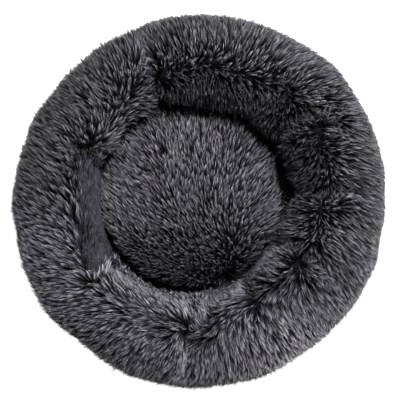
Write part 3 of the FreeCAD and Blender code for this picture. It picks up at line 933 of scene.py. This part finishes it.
def slab(name, top, bottom):
    """Closed piece between two grids of points (columns, rows, xyz)."""
    cols, rows = top.shape[:2]
    size = cols * rows
    verts = np.concatenate([top.reshape(-1, 3), bottom.reshape(-1, 3)])
    upper = grid_faces(cols, rows, False, False)
    faces = upper + [tuple(size + v for v in reversed(f)) for f in upper]
    rim = [i * rows for i in range(cols)] + [(cols - 1) * rows + j for j in range(1, rows)]
    rim += [i * rows + rows - 1 for i in range(cols - 2, -1, -1)] + list(range(rows - 2, 0, -1))
    for a, b in zip(rim, rim[1:] + rim[:1]):
        faces.append((b, a, size + a, size + b))
    return mesh_object(name, verts, faces)


def disc_grid(centre, radius, low, high, cols, rows):
    """Columns of points across a disc, each from low(x, reach) to high(x, reach)."""
    turn = np.radians(np.linspace(-88.0, 88.0, cols))
    x = radius * np.sin(turn)
    reach = radius * np.cos(turn)
    share = np.linspace(0.0, 1.0, rows)[None, :]
    first = low(x + centre[0], reach)[:, None]
    last = high(x + centre[0], reach)[:, None]
    y = first + (last - first) * share + centre[1]
    return np.stack([np.repeat(x[:, None] + centre[0], rows, 1), y], -1)


def at_heights(flat, top, bottom, rough, seed):
    """Two grids over flat points, with slow ripples in the upper and lower faces."""
    points = np.concatenate([flat.reshape(-1, 2), np.zeros((flat[..., 0].size, 1))], 1)
    wave = lumps(points, rough, 0.05, seed).reshape(flat.shape[:2])
    upper = np.concatenate([flat, (top - np.abs(wave))[..., None]], -1)
    lower = np.concatenate([flat, (bottom + np.abs(wave))[..., None]], -1)
    return upper, lower


def stitches(name, middles, ways, length, thick):
    """Short tapered bars along ways."""
    ups = np.tile(np.array([0.0, 0.0, 1.0]), (len(middles), 1))
    sides = np.cross(ways, ups)
    half = ways * (length / 2.0)
    body = ways * (length * 0.36)
    corner = [ups * thick / 2.0, sides * thick / 2.0, -ups * thick / 2.0, -sides * thick / 2.0]
    rows = [middles - half] + [middles - body + c for c in corner]
    rows += [middles + body + c for c in corner] + [middles + half]
    verts = np.stack(rows, 1).reshape(-1, 3)
    shape = []
    for j in range(4):
        n = (j + 1) % 4
        shape += [(0, 1 + n, 1 + j), (1 + j, 1 + n, 5 + n, 5 + j), (9, 5 + j, 5 + n)]
    faces = [tuple(10 * k + v for v in f) for k in range(len(middles)) for f in shape]
    lay(mesh_object(name, verts, faces), None, THREAD)


def well_disc(name, node, material, inset, rough, seed):
    """Upper and lower grids of a disc under the well, as wide as its CAD node."""
    low, high = corners(node)
    radius = (high[0] - low[0]) / 2.0
    flat = disc_grid(WELL_AXIS, radius, lambda x, r: -r, lambda x, r: r, 90, 60)
    upper, lower = at_heights(flat, high[2] - inset, low[2] + inset, rough, seed)
    if node == "base_wadding":
        away = np.abs(lower[..., 1])
        lower[..., 2] += ZIP_ROOM * (1.0 - smooth(away, 0.015, 0.022))
        edge = radius - np.hypot(upper[..., 0] - WELL_AXIS[0], upper[..., 1] - WELL_AXIS[1])
        upper[..., 2] -= 0.005 * (1.0 - smooth(edge, 0.0, 0.010))
    return lay(slab(name, upper, lower), node, material), radius


def make_floor():
    """Cloth floor of the well and the wadding under it."""
    cloth, radius = well_disc("well_floor_cloth", "well_floor_panel", FLOOR_CLOTH,
                              0.0, 0.0003, 61)
    pad, _ = well_disc("base_wadding_pad", "base_wadding", FIBRE, 0.0002, 0.0004, 62)


def slot_edge(x):
    """Half width of the opening between the base panels."""
    start = smooth(x, ZIP_LOW[0] + 0.003, ZIP_LOW[0] + 0.010)
    inside = start * (1.0 - smooth(x, ZIP_HIGH[0] - 0.010, ZIP_HIGH[0] - 0.003))
    return 0.0003 + 0.0087 * inside


def make_base():
    """Two base panels with grip dots, hem stitches, and the binding round them."""
    for side, word in HALVES:
        node = "base_panel_" + word
        low, high = corners(node)
        radius = (high[0] - low[0]) / 2.0
        flat = disc_grid((0.0, 0.0), radius, lambda x, r: np.minimum(slot_edge(x), r),
                         lambda x, r: r, 140, 50)
        flat[..., 1] *= side
        upper, lower = at_heights(flat, high[2] - 0.0002, low[2] + 0.0005, 0.0002, 63)
        if side < 0.0:
            upper = upper[:, ::-1]
            lower = lower[:, ::-1]
        thing = lay(slab("base_cloth_" + word, upper, lower), node, BASE_CLOTH)
        make_dots("base_grip_" + word, radius, side)
        count = int((ZIP_HIGH[0] - ZIP_LOW[0]) / HEM_SPACING)
        hem = np.tile(np.array([ZIP_LOW[0], side * HEM_Y, 0.0005]), (count, 1))
        hem[:, 0] += (ZIP_HIGH[0] - ZIP_LOW[0]) * ((np.arange(count) + 0.5) / count)
        along = np.tile(np.array([1.0, 0.0, 0.0]), (count, 1))
        stitches("hem_stitches_" + word, hem, along, HEM_SPACING * 0.72, 0.0007)
    make_binding()


def make_dots(name, radius, side):
    """Rows of rubber dots printed under a base panel."""
    spots = []
    for j in range(1, int(radius / GRIP_ROW) + 1):
        y = 0.010 + j * GRIP_ROW
        half = int(math.sqrt(max(0.0, (radius - GRIP_MARGIN) ** 2 - y * y)) / GRIP_SPACING)
        shift = 0.5 * (j % 2)
        spots += [((i + shift) * GRIP_SPACING, side * y) for i in range(-half, half)]
    turn = np.arange(GRIP_SIDES) * math.pi / 4.0
    verts = []
    faces = []
    for x, y in spots:
        foot = len(verts)
        shoulder = foot + GRIP_SIDES
        tip = shoulder + GRIP_SIDES
        for reach, z in GRIP_DOME:
            verts += [(x + reach * math.cos(a), y + reach * math.sin(a), z) for a in turn]
        verts.append((x, y, GRIP_TIP))
        for j in range(GRIP_SIDES):
            n = (j + 1) % GRIP_SIDES
            faces.append((foot + n, foot + j, shoulder + j, shoulder + n))
            faces.append((shoulder + n, shoulder + j, tip))
        faces.append(tuple(foot + j for j in range(GRIP_SIDES)))
    lay(mesh_object(name, verts, faces), None, RUBBER)


def make_binding():
    """Woven tape folded round the base's edge, with its stitches."""
    _, high = corners("base_edge_binding")
    outer = high[0]
    inner = outer - BINDING_WIDTH
    around = 540
    profile = []
    for k in range(BINDING_SIDES):
        a = 2.0 * math.pi * k / BINDING_SIDES
        c = math.cos(a)
        s = math.sin(a)
        r = (inner + outer) / 2.0 + (outer - inner) / 2.0 * math.copysign(abs(c) ** 0.5, c)
        profile.append((r, 0.0021 + 0.0018 * math.copysign(abs(s) ** 0.6, s)))
    turn = np.arange(around) * 2.0 * math.pi / around
    pull = 0.00012 * np.sin(turn * 163.0) + 0.00010 * np.sin(turn * 71.0 + 1.0)
    verts = [((r + p) * math.cos(a), (r + p) * math.sin(a), max(0.0002, z + p))
             for a, p in zip(turn, pull) for r, z in profile]
    faces = [tuple(reversed(f)) for f in grid_faces(around, BINDING_SIDES)]
    lay(mesh_object("base_binding_tape", verts, faces), "base_edge_binding",
        BINDING_CLOTH)
    count = 380
    turn = np.arange(count) * 2.0 * math.pi / count
    seam = inner + 0.0014
    spots = np.stack([seam * np.cos(turn), seam * np.sin(turn), np.full(count, 0.0003)], 1)
    ways = np.stack([-np.sin(turn), np.cos(turn), np.zeros(count)], 1)
    stitches("binding_stitches", spots, ways, 0.0028, 0.0005)


def make_tape(word, side):
    """Woven zip tape: a flat strip with a thicker cord along the coil and soft ripples."""
    node = "zip_tape_" + word
    low, high = corners(node)
    x = np.linspace(low[0], high[0], 180)
    y = np.linspace(low[1], high[1], 14)
    near = 1.0 - smooth(high[1] - y if side < 0.0 else y - low[1], 0.0005, 0.0035)
    ripple = 0.00008 * np.sin(x * 420.0)[:, None] * np.cos(y * 300.0)[None, :]
    thick = 0.00026 + 0.00012 * near[None, :]
    middle_z = (low[2] + high[2]) / 2.0 + ripple
    xx, yy = np.meshgrid(x, y, indexing="ij")
    upper = np.stack([xx, yy, middle_z + thick], -1)
    lower = np.stack([xx, yy, middle_z - thick], -1)
    lay(slab("zip_tape_weave_" + word, upper, lower), node, TAPE_CLOTH)


def make_coil(word, side):
    """Nylon coil: one wire wound in flattened turns, each head meeting the other coil."""
    node = "zip_coil_" + word
    low, high = corners(node)
    wire = COIL_WIRE
    turns = int((high[0] - low[0] - 2.0 * wire) / COIL_PITCH)
    count = turns * COIL_STEPS + 1
    t = np.arange(count) / COIL_STEPS
    a = 2.0 * math.pi * t
    mid = (low + high) / 2.0
    reach_y = (high[1] - low[1]) / 2.0 - wire
    reach_z = (high[2] - low[2]) / 2.0 - wire
    stagger = 0.25 * COIL_PITCH if side > 0.0 else 0.0
    x = np.minimum(low[0] + wire + COIL_PITCH * t + stagger, high[0] - wire)
    line = np.stack([x, mid[1] + reach_y * np.cos(a), mid[2] + reach_z * np.sin(a)], 1)
    out = unit(np.stack([np.zeros(count), np.cos(a) / reach_y, np.sin(a) / reach_z], 1))
    verts = []
    for k in range(WIRE_SIDES):
        b = 2.0 * math.pi * k / WIRE_SIDES
        swell = out * math.cos(b)
        swell[:, 0] += math.sin(b)
        verts.append(line + wire * swell)
    verts = np.stack(verts, 1).reshape(-1, 3)
    faces = grid_faces(count, WIRE_SIDES, False, True)
    faces.append(tuple(range(WIRE_SIDES)))
    faces.append(tuple(range(len(verts) - 1, len(verts) - 1 - WIRE_SIDES, -1)))
    lay(mesh_object("zip_coil_wire_" + word, verts, faces), node, NYLON)


def make_zip():
    for side, word in HALVES:
        make_tape(word, side)
        make_coil(word, side)
    for node in ("zip_bottom_stop", "zip_top_stops", "zip_slider", "zip_pull_tab"):
        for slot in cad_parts[node].material_slots:
            slot.material = METAL


# ---------------------------------------------------------------- stage

LENS = 85.0
SENSOR = 36.0
FUR_WIDTH = 0.018  # fur tips outside the CAD box, both sides together
FRAME_SHARE = 0.945  # of the view's width, filled by the bed
OUTLINE_Z = 0.085  # height of the bed's widest outline
WHITE = (1.0, 1.0, 1.0, 1.0)
GLOW = 0.05  # light from all round
BACKDROP = 0.90  # added to it where the camera sees it
AIM = (0.0, 0.0, 0.08)
LIGHTS = (  # name, place, size in metres, power in watts
    ("key", (0.20, 0.82, 1.55), 0.4, 35.0),
    ("right", (1.45, 0.55, 0.45), 0.5, 14.0),
    ("rim", (-1.15, 1.15, 0.30), 0.4, 1.5),
    ("front", (1.05, -1.15, 0.30), 0.4, 9.0),
)


def camera_ray(tree):
    return add(tree, "LightPath", {}).outputs["Is Camera Ray"]


def make_stage():
    """White floor and backdrop, the lights, and the camera straight above."""
    scene = bpy.context.scene
    scene.view_settings.view_transform = "Standard"
    scene.view_settings.look = "None"
    world = bpy.data.worlds.new("studio")
    world.use_nodes = True
    tree = world.node_tree
    glow = tree.nodes.new("ShaderNodeMath")
    glow.operation = "MULTIPLY_ADD"
    plug(tree, glow, {0: camera_ray(tree), 1: BACKDROP, 2: GLOW})
    plug(tree, tree.nodes["Background"], {"Color": WHITE, "Strength": glow.outputs[0]})
    scene.world = world
    floor = mesh_object("floor", [(-4, -4, 0), (4, -4, 0), (4, 4, 0), (-4, 4, 0)], [(0, 1, 2, 3)])
    floor.location.z = -0.0005
    pale, tree, base = shader("floor_white", 0.9)
    plug(tree, base, {"Base Color": (0.95, 0.95, 0.95, 1.0), "Emission Color": WHITE,
                      "Emission Strength": camera_ray(tree)})
    floor.data.materials.append(pale)
    for name, spot, size, power in LIGHTS:
        data = bpy.data.lights.new(name, "AREA")
        data.energy = power
        data.size = size
        light = bpy.data.objects.new(name, data)
        light.location = spot
        aim = Vector(AIM) - Vector(spot)
        light.rotation_mode = "QUATERNION"
        light.rotation_quaternion = aim.to_track_quat("-Z", "Y")
        scene.collection.objects.link(light)
    camera = bpy.data.objects.new("camera", bpy.data.cameras.new("camera"))
    camera.data.lens = LENS
    camera.data.sensor_width = SENSOR
    camera.data.dof.use_dof = False
    distance = (CAD_HIGH[0] - CAD_LOW[0] + FUR_WIDTH) / FRAME_SHARE * LENS / SENSOR
    camera.location = (0.0, 0.0, distance + OUTLINE_Z)
    scene.collection.objects.link(camera)
    scene.camera = camera


make_ring()
make_cushion()
make_floor()
make_base()
make_zip()
make_stage()
